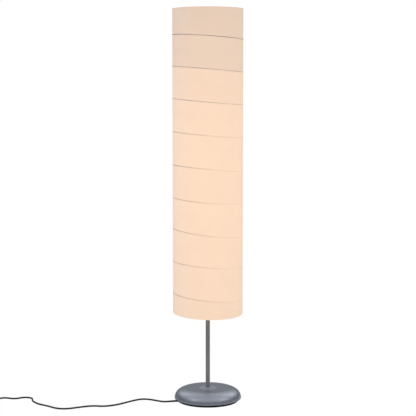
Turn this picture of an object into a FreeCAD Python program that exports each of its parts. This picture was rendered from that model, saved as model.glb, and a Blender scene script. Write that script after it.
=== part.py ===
import FreeCAD, Part
import math
import os

import Sketcher

V = FreeCAD.Vector

# Paper lantern floor lamp. Millimetres, +Z up. The origin is on the floor under
# the middle of the round base; -Y is the front, the mains lead leaves to -X.

doc = FreeCAD.newDocument("paper_lantern_floor_lamp")
sheet = doc.addObject("Spreadsheet::Sheet", "Dims")

# ---------------------------------------------------------------- dimensions
DIMS = [
    # overall
    ("lamp_height", 1174.0), ("shade_radius", 105.0), ("paper_wall", 0.5), ("seam_gap", 0.4),
    ("hoop_radius", 103.2), ("hoop_wire", 1.0), ("ring_radius", 103.0), ("ring_wire", 1.2),
    ("shade_bottom", 270.3), ("bottom_side", -2.0), ("bottom_front", -5.0), ("ring_rise", 4.5),
    # nine hoops: height of the middle, rise on the right side, rise at the front
    ("rib_a", 1090.8), ("rib_a_side", -6.9), ("rib_a_front", 0.9),
    ("rib_b", 997.4), ("rib_b_side", -8.5), ("rib_b_front", -0.4),
    ("rib_c", 902.6), ("rib_c_side", -9.1), ("rib_c_front", -1.2),
    ("rib_d", 805.7), ("rib_d_side", -9.0), ("rib_d_front", -1.0),
    ("rib_e", 706.3), ("rib_e_side", -9.5), ("rib_e_front", 1.3),
    ("rib_f", 610.8), ("rib_f_side", -8.2), ("rib_f_front", -1.7),
    ("rib_g", 515.4), ("rib_g_side", -12.0), ("rib_g_front", -2.6),
    ("rib_i", 419.4), ("rib_i_side", -8.8), ("rib_i_front", 0.2),
    ("rib_j", 324.3), ("rib_j_side", -9.8), ("rib_j_front", -3.6),
    # base
    ("base_radius", 100.9), ("base_height", 38.0), ("base_flat", 64.0), ("shoulder_arc", 46.275),
    ("side_arc", 26.4), ("side_z", 8.6), ("lip_radius", 98.4), ("lip_z", 7.0), ("cover_wall", 1.2),
    ("foot_radius", 92.3), ("foot_inner", 50.0), ("foot_height", 9.0),
    ("weight_radius", 90.0), ("weight_shoulder", 28.0), ("hub_radius", 26.0),
    ("recess_radius", 24.0), ("recess_top", 28.0), ("notch_width", 7.4),
    # stem and its hollow threaded nipples
    ("stem_radius", 6.5), ("stem_bore", 5.2), ("stem_joint", 334.0), ("stem_top", 532.0),
    ("nipple_radius", 5.1), ("nipple_bore", 3.5), ("lead_radius", 2.6), ("lead_z", 2.9),
    # bulb holder, bulb
    ("holder_radius", 19.5), ("holder_wall", 2.0), ("holder_z", 534.0), ("holder_top", 596.0),
    ("sleeve_bore", 13.25), ("cap_radius", 13.2), ("cap_bottom", 570.0), ("bulb_middle", 654.0), ("bulb_radius", 30.0),
    # wire frame above the bulb
    ("harp_half", 44.0), ("harp_foot", 33.0), ("harp_wire", 1.5), ("boss_z", 1126.0), ("boss_radius", 8.5),
    ("stud_radius", 2.95), ("spoke_wire", 1.3), ("arm_wire", 1.5), ("arm_z", 266.0),
    # in-line foot switch
    ("switch_x", -723.0), ("switch_y", -18.0), ("switch_half", 19.0), ("switch_radius", 20.0), ("switch_height", 20.0),
    ("button_radius", 12.0), ("button_gap", 0.3), ("neck_z", 7.0),
    # wound-up lead and plug
    ("coil_x", -806.0), ("coil_y", 11.0), ("coil_mid", 29.0), ("coil_half", 8.0), ("coil_high", 10.4),
    ("plug_thick", 13.6), ("pin_radius", 2.0), ("pin_long", 19.0), ("pin_spread", 18.6),
]
for row, (name, value) in enumerate(DIMS, start=1):
    sheet.set("A%d" % row, name)
    sheet.set("B%d" % row, repr(value))
    sheet.setAlias("B%d" % row, name)
doc.recompute()
TABLE = dict(DIMS)


class Dim:
    """A number together with the sheet expression that gives it."""

    def __init__(self, value, expr):
        self.value, self.expr = float(value), expr

    def _mix(self, other, sign, swap=False):
        v = other.value if isinstance(other, Dim) else float(other)
        e = other.expr if isinstance(other, Dim) else repr(float(other))
        a, b = ((v, e), (self.value, self.expr)) if swap else ((self.value, self.expr), (v, e))
        value = {"+": a[0] + b[0], "-": a[0] - b[0], "*": a[0] * b[0]}[sign]
        return Dim(value, "(%s %s %s)" % (a[1], sign, b[1]))

    def __add__(self, o):
        return self._mix(o, "+")

    def __radd__(self, o):
        return self._mix(o, "+", True)

    def __sub__(self, o):
        return self._mix(o, "-")

    def __rsub__(self, o):
        return self._mix(o, "-", True)

    def __mul__(self, o):
        return self._mix(o, "*")

    def __rmul__(self, o):
        return self._mix(o, "*", True)

    def __float__(self):
        return self.value


def d(name):
    return Dim(TABLE[name], "Dims." + name)


def num(x):
    return x.value if isinstance(x, Dim) else float(x)


NODES = []  # the objects that become node files


def node(obj, label):
    obj.Label = label
    NODES.append(obj)
    return obj


def bind(obj, prop, x):
    if isinstance(x, Dim):
        obj.setExpression(prop, x.expr)


def put(obj, x=0.0, y=0.0, z=0.0, rot=None):
    obj.Placement = FreeCAD.Placement(V(num(x), num(y), num(z)), rot or FreeCAD.Rotation())
    bind(obj, "Placement.Base.x", x)
    bind(obj, "Placement.Base.y", y)
    bind(obj, "Placement.Base.z", z)
    return obj


def cylinder(name, r, length, x=0.0, y=0.0, z=0.0, rot=None):
    c = doc.addObject("Part::Cylinder", name)
    c.Radius, c.Height = num(r), num(length)
    bind(c, "Radius", r)
    bind(c, "Height", length)
    return put(c, x, y, z, rot)


def box(name, lx, ly, lz, x=0.0, y=0.0, z=0.0, rot=None):
    b = doc.addObject("Part::Box", name)
    b.Length, b.Width, b.Height = num(lx), num(ly), num(lz)
    bind(b, "Length", lx)
    bind(b, "Width", ly)
    bind(b, "Height", lz)
    return put(b, x, y, z, rot)


def cut(name, base, tool):
    c = doc.addObject("Part::Cut", name)
    c.Base, c.Tool = base, tool
    return c


def fuse(name, *shapes):
    f = doc.addObject("Part::MultiFuse", name)
    f.Shapes = list(shapes)
    return f


def origin_plane(body, role):
    return [f for f in body.Origin.OriginFeatures if f.Role == role][0]


def arc_centre(a, b, radius, side):
    """Centre of an arc of that radius from a to b; side +1 puts it left of the way from a to b."""
    mx, my = (a[0] + b[0]) / 2.0, (a[1] + b[1]) / 2.0
    dx, dy = b[0] - a[0], b[1] - a[1]
    half = math.hypot(dx, dy) / 2.0
    off = math.sqrt(max(radius * radius - half * half, 0.0))
    return mx - side * dy / (2 * half) * off, my + side * dx / (2 * half) * off


def profile(sketch, steps):
    """Closed outline in a sketch. steps: (x, y) starts, then ('L', x, y) or ('A', x, y, radius, side).
    Every corner is held by its two distances from the origin, and every arc by its radius."""
    pts = [steps[0]] + [s[1:3] for s in steps[1:]]
    ends = []
    n = len(steps) - 1
    for i in range(1, n + 1):
        a = (num(pts[i - 1][0]), num(pts[i - 1][1]))
        b = (num(pts[i % n][0]), num(pts[i % n][1])) if i == n else (num(pts[i][0]), num(pts[i][1]))
        s = steps[i]
        if s[0] == "L":
            g = sketch.addGeometry(Part.LineSegment(V(a[0], a[1], 0), V(b[0], b[1], 0)), False)
            ends.append((g, 1, 2, None))
        else:
            c = arc_centre(a, b, num(s[3]), s[4])
            circle = Part.Circle(V(c[0], c[1], 0), V(0, 0, 1), num(s[3]))
            ta, tb = math.atan2(a[1] - c[1], a[0] - c[0]), math.atan2(b[1] - c[1], b[0] - c[0])
            if s[4] > 0:  # centre on the left: the arc runs counter-clockwise from a to b
                g = sketch.addGeometry(Part.ArcOfCircle(circle, ta, tb if tb > ta else tb + 2 * math.pi), False)
                ends.append((g, 1, 2, s[3]))
            else:
                g = sketch.addGeometry(Part.ArcOfCircle(circle, tb, ta if ta > tb else ta + 2 * math.pi), False)
                ends.append((g, 2, 1, s[3]))
    for i in range(n):
        g, first, last, radius = ends[i]
        g2, first2 = ends[(i + 1) % n][0], ends[(i + 1) % n][1]
        sketch.addConstraint(Sketcher.Constraint("Coincident", g, last, g2, first2))
        x, y = pts[i]
        if abs(num(x)) < 1e-9:
            sketch.addConstraint(Sketcher.Constraint("PointOnObject", g, first, -2))
        else:
            k = sketch.addConstraint(Sketcher.Constraint("DistanceX", -1, 1, g, first, num(x)))
            if isinstance(x, Dim):
                sketch.setExpression("Constraints[%d]" % k, x.expr)
        if abs(num(y)) < 1e-9:
            sketch.addConstraint(Sketcher.Constraint("PointOnObject", g, first, -1))
        else:
            k = sketch.addConstraint(Sketcher.Constraint("DistanceY", -1, 1, g, first, num(y)))
            if isinstance(y, Dim):
                sketch.setExpression("Constraints[%d]" % k, y.expr)
        if radius is not None:
            k = sketch.addConstraint(Sketcher.Constraint("Radius", g, num(radius)))
            if isinstance(radius, Dim):
                sketch.setExpression("Constraints[%d]" % k, radius.expr)


def turned(label, steps, x=0.0, y=0.0, z=0.0, rot=None, keep=True):
    """A piece turned about its own Z: an outline in the XZ plane and a full revolution."""
    body = doc.addObject("PartDesign::Body", "Body_" + label)
    sk = body.newObject("Sketcher::SketchObject", "Sketch_" + label)
    sk.AttachmentSupport = [(origin_plane(body, "XZ_Plane"), "")]
    sk.MapMode = "FlatFace"
    profile(sk, steps)
    rv = body.newObject("PartDesign::Revolution", "Revolution_" + label)
    rv.Profile = sk
    rv.ReferenceAxis = (sk, ["V_Axis"])
    rv.Angle = 360.0
    body.Tip = rv
    put(body, x, y, z, rot)
    return node(body, label) if keep else body


def padded(label, steps, height, x=0.0, y=0.0, z=0.0, rot=None, keep=True):
    """A piece cut from an outline in the XY plane and given a height."""
    body = doc.addObject("PartDesign::Body", "Body_" + label)
    sk = body.newObject("Sketcher::SketchObject", "Sketch_" + label)
    sk.AttachmentSupport = [(origin_plane(body, "XY_Plane"), "")]
    sk.MapMode = "FlatFace"
    profile(sk, steps)
    pd = body.newObject("PartDesign::Pad", "Pad_" + label)
    pd.Profile = sk
    pd.Length = num(height)
    bind(pd, "Length", height)
    body.Tip = pd
    put(body, x, y, z, rot)
    return node(body, label) if keep else body


def rounded_path(points, share=0.45, radii=None, closed=False):
    """Straight runs joined by tangent arcs through a list of points. Each arc's radius is share of the
    shorter run divided by the tangent of half the turn, or the radius given for that corner."""
    P = [V(*p) for p in points]
    edges, report = [], []
    start = P[0]
    for i in range(1, len(P) - 1):
        a, b, c = P[i - 1], P[i], P[i + 1]
        u, w = (b - a), (c - b)
        lu, lw = u.Length, w.Length
        u.normalize()
        w.normalize()
        turn = u.getAngle(w)
        if turn < 1e-6:
            raise ValueError("three points in line at %s" % (points[i],))
        r = radii[i] if radii and i in radii else share * min(lu, lw) / math.tan(turn / 2)
        t = r * math.tan(turn / 2)
        p, q = b - u * t, b + w * t
        n = (w - u)
        n.normalize()
        m = b + n * (r / math.cos(turn / 2) - r)
        if (p - start).Length > 1e-6:
            edges.append(Part.LineSegment(start, p).toShape())
        edges.append(Part.Arc(p, m, q).toShape())
        start = q
        report.append((round(math.degrees(turn), 1), round(r, 1)))
    edges.append(Part.LineSegment(start, P[-1]).toShape())
    return Part.Wire(edges), report


def wire_piece(label, points, radius, share=0.45, radii=None, keep=True, say=False):
    """A round wire, tube or lead swept along a path of straight runs and tangent arcs."""
    wire, report = rounded_path(points, share, radii)
    path = doc.addObject("Part::Feature", "Path_" + label)
    path.Shape = wire
    section = doc.addObject("Part::Circle", "Section_" + label)
    section.Radius = num(radius)
    bind(section, "Radius", radius)
    way = V(*points[1]) - V(*points[0])
    section.Placement = FreeCAD.Placement(V(*points[0]), FreeCAD.Rotation(V(0, 0, 1), way))
    sw = doc.addObject("Part::Sweep", "Sweep_" + label)
    sw.Sections = [section]
    sw.Spine = (path, ["Edge%d" % (k + 1) for k in range(len(wire.Edges))])
    sw.Solid = True
    sw.Frenet = False
    LENGTHS[label] = (wire.Length, math.pi * num(radius) ** 2 * wire.Length, sw)
    if say:
        print("%s: length %.1f, turns and radii %s" % (label, wire.Length, report))
        print("%s: smallest radius %.1f" % (label, min(r for _, r in report)))
    return node(sw, label) if keep else sw


LENGTHS = {}


def tilt(side, front, radius):
    """Turns Z to the normal of a ring that stands `side` higher at +X and `front` higher at -Y."""
    return FreeCAD.Rotation(V(0, 0, 1), V(-side / radius, front / radius, 1.0))


# ---------------------------------------------------------------- base
# Direction in which the lead leaves the base, on the floor.
LEAD_AZ = 195.0
lead_rot = FreeCAD.Rotation(V(0, 0, 1), LEAD_AZ)
ux, uy = math.cos(math.radians(LEAD_AZ)), math.sin(math.radians(LEAD_AZ))

# Pressed steel cover: flat top with a small dish at the stem, broad rounded shoulder, widest low
# down, tucked under to a lip that hangs a little way down round the foot ring.
w = d("cover_wall")
R_out, H = d("base_radius"), d("base_height")
c2r = num(R_out) - num(d("side_arc"))
tan_a = math.atan2(num(d("side_z")) - (num(H) - num(d("shoulder_arc"))), c2r - num(d("base_flat")))
tr = num(d("base_flat")) + num(d("shoulder_arc")) * math.cos(tan_a)
tz = num(H) - num(d("shoulder_arc")) + num(d("shoulder_arc")) * math.sin(tan_a)
ir = num(d("base_flat")) + (num(d("shoulder_arc")) - 1.2) * math.cos(tan_a)
iz = num(H) - num(d("shoulder_arc")) + (num(d("shoulder_arc")) - 1.2) * math.sin(tan_a)
turned("base_cover", [
    (5.4, H - 1.4),
    ("L", 8.0, H - 1.4),
    ("A", 18.0, H, 36.4, -1),
    ("L", d("base_flat"), H),
    ("A", tr, tz, d("shoulder_arc"), -1),
    ("A", R_out, d("side_z"), d("side_arc"), -1),
    ("A", d("lip_radius"), d("lip_z"), 2.4, -1),
    ("L", d("lip_radius") - 0.8, d("lip_z") + 0.9),
    ("A", R_out - w, d("side_z"), 2.6, 1),
    ("A", ir, iz, d("side_arc") - w, 1),
    ("A", d("base_flat"), H - w, d("shoulder_arc") - w, 1),
    ("L", 18.0, H - w),
    ("L", 8.6, H - 1.4 - w),
    ("L", 5.4, H - 1.4 - w),
    ("L", 5.4, H - 1.4),
])

# Cast iron weight: a rounded disc with a boss that carries the cover and a recess underneath for the nut.
F = d("foot_height")
turned("base_weight", [
    (5.4, d("recess_top")),
    ("L", d("recess_radius"), d("recess_top")),
    ("L", d("recess_radius"), F),
    ("L", d("weight_radius"), F),
    ("L", d("weight_radius"), F + 9.0),
    ("A", 80.0, d("weight_shoulder"), 10.0, 1),
    ("L", d("hub_radius") + 4.0, d("weight_shoulder")),
    ("L", d("hub_radius"), H - 1.4 - w - 1.4),
    ("L", 12.0, H - 1.4 - w - 1.4),
    ("L", 10.0, H - 1.4 - w),
    ("L", 5.4, H - 1.4 - w),
    ("L", 5.4, d("recess_top")),
])

# Rubber foot ring under the weight, notched for the lead.
foot_raw = turned("foot_ring_raw", [
    (d("foot_inner"), 0.0),
    ("L", d("foot_radius") - 0.8, 0.0),
    ("L", d("foot_radius"), 0.8),
    ("L", d("foot_radius"), F),
    ("L", d("foot_inner"), F),
    ("L", d("foot_inner"), 0.0),
], keep=False)
foot_notch = box("Foot_notch", 60.0, d("notch_width"), 7.4,
                 x=ux * 40.0 + uy * num(d("notch_width")) / 2, y=uy * 40.0 - ux * num(d("notch_width")) / 2,
                 z=-0.5, rot=lead_rot)
node(cut("Cut_foot_ring", foot_raw, foot_notch), "foot_ring")

# Hollow threaded nipple that clamps weight, cover and stem together, with its washer and nut.
nip_r, nip_b = d("nipple_radius"), d("nipple_bore")


def tube_steps(r_in, r_out, z0, z1, ease=0.4):
    return [
        (r_in, z0), ("L", r_out - ease, z0), ("L", r_out, z0 + ease), ("L", r_out, z1 - ease),
        ("L", r_out - ease, z1), ("L", r_in, z1), ("L", r_in, z0),
    ]


turned("base_nipple", tube_steps(nip_b, nip_r, d("recess_top") - 5.6, H + 17.0))
turned("base_washer", tube_steps(d("nipple_radius") + 0.2, Dim(12.0, "12.0"), d("recess_top") - 1.3, d("recess_top"), 0.2))
nut_body = doc.addObject("Part::Prism", "Nut_body")
nut_body.Polygon = 6
nut_body.Circumradius = 9.2
nut_body.Height = 3.8
put(nut_body, 0.0, 0.0, d("recess_top") - 1.3 - 3.8)
node(cut("Cut_base_nut", nut_body, cylinder("Nut_bore", nip_r, 6.0, z=d("recess_top") - 1.3 - 4.8)), "base_nut")

# ---------------------------------------------------------------- stem
S_r, S_b = d("stem_radius"), d("stem_bore")
turned("stem_lower", tube_steps(S_b, S_r, H - 1.4, d("stem_joint"), 0.5))
turned("stem_coupler", tube_steps(nip_b, nip_r, d("stem_joint") - 16.0, d("stem_joint") + 16.0))
turned("stem_upper", tube_steps(S_b, S_r, d("stem_joint"), d("stem_top"), 0.5))
turned("holder_nipple", tube_steps(nip_b, nip_r, d("stem_top") - 14.0, d("holder_z") + 8.0))

# Lead inside the lamp, from the strain relief through the base and up the stem to the terminals.
lead_in = 88.0
wire_piece("internal_lead", [
    (ux * lead_in, uy * lead_in, num(d("lead_z"))),
    (0.0, 0.0, num(d("lead_z"))),
    (0.0, 0.0, num(d("holder_z")) + 14.0),
], d("lead_radius"), radii={1: 15.0})

# Tapered strain relief in the notch of the foot ring, lying on the floor.
relief_z = 3.4
relief_len = 28.0
turned("cord_strain_relief", [
    (0.0, 0.0), ("L", 3.3, 0.0), ("L", 3.3, 7.0), ("L", 3.0, 12.0), ("L", 2.7, relief_len), ("L", 0.0, relief_len), ("L", 0.0, 0.0),
], x=ux * lead_in, y=uy * lead_in, z=relief_z, rot=FreeCAD.Rotation(V(0, 0, 1), V(ux, uy, 0)))

# ---------------------------------------------------------------- bulb holder
HZ, HR, HW, HT = d("holder_z"), d("holder_radius"), d("holder_wall"), d("holder_top")
# Saddle plate with two ferrules that the harp wires stand in.
plate = padded("saddle_plate", [
    (-33.0, -3.2), ("L", -12.0, -5.5), ("L", -9.0, -9.0), ("L", 9.0, -9.0), ("L", 12.0, -5.5), ("L", 33.0, -3.2),
    ("L", 33.0, 3.2), ("L", 12.0, 5.5), ("L", 9.0, 9.0), ("L", -9.0, 9.0), ("L", -12.0, 5.5), ("L", -33.0, 3.2), ("L", -33.0, -3.2),
], HZ - d("stem_top"), z=d("stem_top"), keep=False)
ferrules = [cylinder("Ferrule_%d" % k, 3.2, 14.0, x=s * d("harp_foot"), z=d("stem_top")) for k, s in enumerate((-1.0, 1.0))]
saddle = fuse("Saddle_fuse", plate, *ferrules)
saddle_holes = fuse("Saddle_holes",
                    cylinder("Saddle_bore", nip_r, 8.0, z=d("stem_top") - 3.0),
                    *[cylinder("Ferrule_bore_%d" % k, d("harp_wire"), 20.0, x=s * d("harp_foot"), z=d("stem_top") + 3.0)
                      for k, s in enumerate((-1.0, 1.0))])
node(cut("Cut_harp_saddle", saddle, saddle_holes), "harp_saddle")

turned("holder_cap", [
    (nip_r, HZ), ("L", 14.0, HZ), ("A", HR, HZ + 5.5, 5.5, 1), ("L", HR, HZ + 22.0), ("L", HR - HW, HZ + 22.0),
    ("L", HR - HW, HZ + 6.0), ("L", 14.0, HZ + 2.4), ("L", nip_r, HZ + 2.4), ("L", nip_r, HZ),
])
turned("holder_shell", [
    (HR - HW, HZ + 22.0), ("L", HR, HZ + 22.0), ("L", HR, HZ + 44.0), ("L", HR + 1.6, HZ + 45.0), ("L", HR + 1.6, HZ + 47.5),
    ("L", HR, HZ + 48.5), ("L", HR - 1.5, HT), ("L", 15.4, HT), ("L", 15.4, HT - 3.0), ("L", HR - HW, HT - 5.0), ("L", HR - HW, HZ + 22.0),
])
turned("terminal_block", [
    (nip_r, HZ + 16.0), ("L", 17.0, HZ + 16.0), ("L", 17.0, HZ + 26.0), ("L", 15.0, HZ + 28.0), ("L", 0.0, HZ + 28.0),
    ("L", 0.0, HZ + 20.0), ("L", nip_r, HZ + 20.0), ("L", nip_r, HZ + 16.0),
])
turned("screw_shell", [
    (d("sleeve_bore"), HZ + 28.6), ("L", 14.2, HZ + 28.6), ("L", 14.2, HT - 1.0), ("L", 15.2, HT - 1.0), ("L", 15.2, HT - 0.2),
    ("L", d("sleeve_bore"), HT - 0.2), ("L", d("sleeve_bore"), HZ + 28.6),
])
# Springy centre contact: a bent strip that stands on the terminal block.
contact_bar = box("Contact_bar", 12.0, 5.0, 0.8, x=-6.0, y=-2.5, z=HZ + 28.0)
contact_leg = box("Contact_leg", 1.0, 5.0, 6.6, x=-6.0, y=-2.5, z=HZ + 28.0)
contact_top = box("Contact_top", 9.0, 5.0, 0.8, x=-6.0, y=-2.5, z=HZ + 33.8)
node(fuse("Fuse_centre_contact", contact_bar, contact_leg, contact_top), "centre_contact")

# ---------------------------------------------------------------- bulb (turns as one)
CB, BM, BR = d("cap_bottom"), d("bulb_middle"), d("bulb_radius")
turned("bulb_cap", [
    (0.0, CB - 1.1), ("L", 4.6, CB - 1.1), ("L", 5.2, CB), ("L", 9.0, CB + 2.0), ("L", d("cap_radius"), CB + 5.0),
    ("L", d("cap_radius"), CB + 26.0), ("L", 12.0, CB + 27.0), ("L", 0.0, CB + 27.0), ("L", 0.0, CB - 1.1),
])
turned("bulb_housing", [
    (0.0, CB + 27.0), ("L", 12.4, CB + 27.0), ("L", 14.2, CB + 30.0), ("L", 24.2, CB + 62.0), ("L", 23.2, CB + 63.0),
    ("L", 0.0, CB + 63.0), ("L", 0.0, CB + 27.0),
])
zc = num(BM) + 3.0
r_seat = 24.4
z_seat = num(CB) + 63.0
turned("bulb_globe", [
    (0.0, z_seat), ("L", r_seat, z_seat), ("A", BR, zc, 30.0, 1), ("A", 0.0, zc + 30.0, BR, 1), ("L", 0.0, z_seat),
])

# ---------------------------------------------------------------- harp and top of the frame
HF, HH = num(d("harp_foot")), num(d("harp_half"))
BZ = d("boss_z")
for side, s in (("left", -1.0), ("right", 1.0)):
    wire_piece("harp_wire_" + side, [
        (s * HF, 0.0, num(d("stem_top")) + 3.0),
        (s * HF, 0.0, num(HZ) + 26.0),
        (s * HH, 0.0, num(HZ) + 66.0),
        (s * HH, 0.0, num(HZ) + 200.0),
        (s * 5.4, 0.0, num(BZ) - 34.0),
        (s * 5.4, 0.0, num(BZ)),
    ], d("harp_wire"), radii={1: 30.0, 2: 30.0, 3: 160.0, 4: 60.0})
turned("harp_boss", [
    (0.0, BZ), ("L", d("boss_radius") - 0.8, BZ), ("L", d("boss_radius"), BZ + 0.8), ("L", d("boss_radius"), BZ + 11.0),
    ("L", d("boss_radius") - 1.0, BZ + 12.0), ("L", d("stud_radius"), BZ + 12.0), ("L", d("stud_radius"), BZ + 23.4),
    ("L", d("stud_radius") - 0.6, BZ + 24.0), ("L", 0.0, BZ + 24.0), ("L", 0.0, BZ),
])
# Top spider: a dished cross of four spokes welded to the top ring.
hub_z = BZ + 12.0
hub = turned("top_hub", [
    (3.2, hub_z), ("L", 12.0, hub_z), ("L", 13.0, hub_z + 1.0), ("L", 13.0, hub_z + 2.6), ("L", 3.2, hub_z + 2.6), ("L", 3.2, hub_z),
], keep=False)
spokes = []
ring_z = num(d("lamp_height")) - 1.4
for k in range(4):
    a = math.radians(45 + 90 * k)
    p0 = V(10.5 * math.cos(a), 10.5 * math.sin(a), num(hub_z) + 1.3)
    p1 = V(102.6 * math.cos(a), 102.6 * math.sin(a), ring_z)
    sp = cylinder("Spoke_%d" % k, d("spoke_wire"), (p1 - p0).Length, rot=FreeCAD.Rotation(V(0, 0, 1), p1 - p0))
    sp.Placement = FreeCAD.Placement(p0, FreeCAD.Rotation(V(0, 0, 1), p1 - p0))
    spokes.append(sp)
node(fuse("Fuse_top_spider", hub, *spokes), "top_spider")
node(turned("finial_washer_raw", tube_steps(Dim(3.2, "3.2"), Dim(9.5, "9.5"), hub_z + 2.6, hub_z + 3.6, 0.3), keep=False), "finial_washer")

# Knurled finial nut: turned blank with grip grooves in a polar pattern.
fz = hub_z + 3.7
finial = turned("finial_nut", [
    (d("stud_radius") + 0.05, fz), ("L", 7.4, fz), ("L", 8.0, fz + 0.6), ("L", 8.0, fz + 7.5), ("A", 4.0, fz + 11.0, 5.2, 1),
    ("L", 0.0, fz + 11.6), ("L", 0.0, fz + 9.4), ("L", d("stud_radius") + 0.05, fz + 9.4), ("L", d("stud_radius") + 0.05, fz),
])
groove_sk = finial.newObject("Sketcher::SketchObject", "Sketch_grip")
groove_sk.AttachmentSupport = [(origin_plane(finial, "XY_Plane"), "")]
groove_sk.MapMode = "FlatFace"
groove_sk.AttachmentOffset = FreeCAD.Placement(V(0, 0, num(fz) - 1.0), FreeCAD.Rotation())
profile(groove_sk, [(7.5, -0.5), ("L", 9.0, -0.9), ("L", 9.0, 0.9), ("L", 7.5, 0.5), ("L", 7.5, -0.5)])
doc.recompute()
grip = finial.newObject("PartDesign::Pocket", "Pocket_grip")
grip.Profile = groove_sk
grip.Length = 9.0
grip.Reversed = True
finial.Tip = grip
doc.recompute()
pattern = finial.newObject("PartDesign::PolarPattern", "PolarPattern_grip")
pattern.Originals = [grip]
pattern.Axis = (origin_plane(finial, "Z_Axis"), [""])
pattern.Angle = 360.0
pattern.Occurrences = 14
finial.Tip = pattern

# ---------------------------------------------------------------- paper shade
RIBS = ["a", "b", "c", "d", "e", "f", "g", "i", "j"]
SR, PW = d("shade_radius"), d("paper_wall")
R0 = num(SR)


def ring_piece(label, major, minor, z, rot):
    t = doc.addObject("Part::Torus", "Torus_" + label)
    t.Radius1, t.Radius2 = num(major), num(minor)
    bind(t, "Radius1", major)
    bind(t, "Radius2", minor)
    put(t, 0.0, 0.0, z, rot)
    return node(t, label)


ring_piece("top_ring", d("ring_radius"), d("ring_wire"), d("lamp_height") - 1.4, FreeCAD.Rotation())
rib_rots = []
for k, key in enumerate(RIBS):
    rot = tilt(TABLE["rib_%s_side" % key], TABLE["rib_%s_front" % key], R0)
    rib_rots.append(rot)
    ring_piece("rib_hoop_%d" % (k + 1), d("hoop_radius"), d("hoop_wire"), d("rib_" + key), rot)
bottom_rot = tilt(TABLE["bottom_side"], TABLE["bottom_front"], R0)
ring_piece("bottom_ring", d("ring_radius"), d("ring_wire"), d("shade_bottom") + d("ring_rise"), bottom_rot)

# Ten bands of paper between the rings and hoops, each cut square to the hoop above and below it.
GAP = d("seam_gap")
levels = [(d("lamp_height"), FreeCAD.Rotation())]
levels += [(d("rib_" + key) + 1.4, rib_rots[k]) for k, key in enumerate(RIBS)]
levels += [(d("shade_bottom"), bottom_rot)]
for k in range(10):
    (z_top, rot_top), (z_low, rot_low) = levels[k], levels[k + 1]
    over = 16.0
    low = z_low - over
    tall = (z_top - z_low) + 2 * over
    outer = cylinder("Paper_outer_%d" % (k + 1), SR, tall, z=low)
    inner = cylinder("Paper_inner_%d" % (k + 1), SR - PW, tall + 4.0, z=low - 2.0)
    tube = cut("Paper_tube_%d" % (k + 1), outer, inner)
    above = cylinder("Paper_above_%d" % (k + 1), 140.0, 60.0, z=z_top if k == 0 else z_top - GAP, rot=rot_top)
    flip = rot_low.multiply(FreeCAD.Rotation(V(1, 0, 0), 180))
    below = cylinder("Paper_below_%d" % (k + 1), 140.0, 60.0, z=z_low, rot=flip)
    node(cut("Cut_paper_band_%d" % (k + 1), cut("Trim_%d" % (k + 1), tube, above), below), "paper_band_%d" % (k + 1))

# Bottom spider: a sleeve clamped on the stem and four wire arms whose upturned tips centre the bottom ring.
AZ = d("arm_z")
sleeve = turned("arm_sleeve", tube_steps(S_r, Dim(11.0, "11.0"), AZ - 7.0, AZ + 9.0, 0.6), keep=False)
arms = []
AW = num(d("arm_wire"))
for k in range(4):
    a = math.radians(45 + 90 * k)
    ca, sa = math.cos(a), math.sin(a)
    # underside of the bottom ring in this direction
    under = num(d("shade_bottom")) + num(d("ring_rise")) + (TABLE["bottom_side"] * ca - TABLE["bottom_front"] * sa) * 102.7 / R0 - num(d("ring_wire"))
    z_tip = under - AW - 0.35
    p0 = V(9.0 * ca, 9.0 * sa, num(AZ))
    p1 = V(103.4 * ca, 103.4 * sa, z_tip)
    arm = cylinder("Arm_%d" % k, d("arm_wire"), (p1 - p0).Length)
    arm.Placement = FreeCAD.Placement(p0, FreeCAD.Rotation(V(0, 0, 1), p1 - p0))
    q = p0 + (p1 - p0) * ((99.4 - 9.0) / (103.4 - 9.0))
    tip = cylinder("Arm_tip_%d" % k, d("arm_wire"), 9.0)
    tip.Placement = FreeCAD.Placement(V(q.x, q.y, q.z - 0.6), FreeCAD.Rotation())
    arms += [arm, tip]
screw_hole = cylinder("Arm_screw_hole", 2.0, 12.0, x=0.0, y=0.0, z=AZ + 5.0, rot=FreeCAD.Rotation(V(0, 0, 1), V(0, -1, 0)))
sleeve_cut = cut("Arm_sleeve_cut", sleeve, screw_hole)
node(fuse("Fuse_bottom_spider", sleeve_cut, *arms), "bottom_spider")
turned("spider_screw", [
    (0.0, 0.0), ("L", 2.0, 0.0), ("L", 2.0, 4.6), ("L", 3.6, 4.6), ("L", 3.6, 7.0), ("L", 3.0, 7.6), ("L", 0.0, 7.6), ("L", 0.0, 0.0),
], x=0.0, y=-1.0 * S_r, z=AZ + 5.0, rot=FreeCAD.Rotation(V(0, 0, 1), V(0, -1, 0)))

# ---------------------------------------------------------------- lead on the floor
SX, SY, NZ = d("switch_x"), d("switch_y"), d("neck_z")
neck = num(d("switch_half")) + num(d("switch_radius")) + 6.0
inlet = (num(SX) + neck, num(SY), num(NZ))
outlet = (num(SX) - neck, num(SY), num(NZ))
tip_r = lead_in + relief_len
LEAD_A = [
    (ux * tip_r, uy * tip_r, relief_z),
    (-132.0, -33.5, 2.75),
    (-152.5, -21.0, 2.65),
    (-174.5, -5.0, 2.65),
    (-197.0, 1.0, 2.65),
    (-216.5, -10.5, 2.65),
    (-242.0, -37.0, 2.65),
    (-271.5, -69.0, 2.65),
    (-309.0, -87.0, 2.65),
    (-339.5, -78.5, 2.65),
    (-374.0, -92.0, 2.65),
    (-412.5, -114.5, 2.65),
    (-444.0, -111.5, 2.65),
    (-476.0, -80.5, 2.65),
    (-505.0, -60.5, 2.65),
    (-530.0, -24.5, 2.65),
    (-532.5, 11.0, 2.65),
    (-559.5, 23.0, 2.65),
    (-587.0, 0.5, 2.65),
    (-619.0, 18.0, 2.65),
    (-644.0, -1.0, 2.75),
    (-660.0, -14.5, 4.6),
    inlet,
]
wire_piece("lead_to_switch", LEAD_A, d("lead_radius"), say=True)
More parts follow.
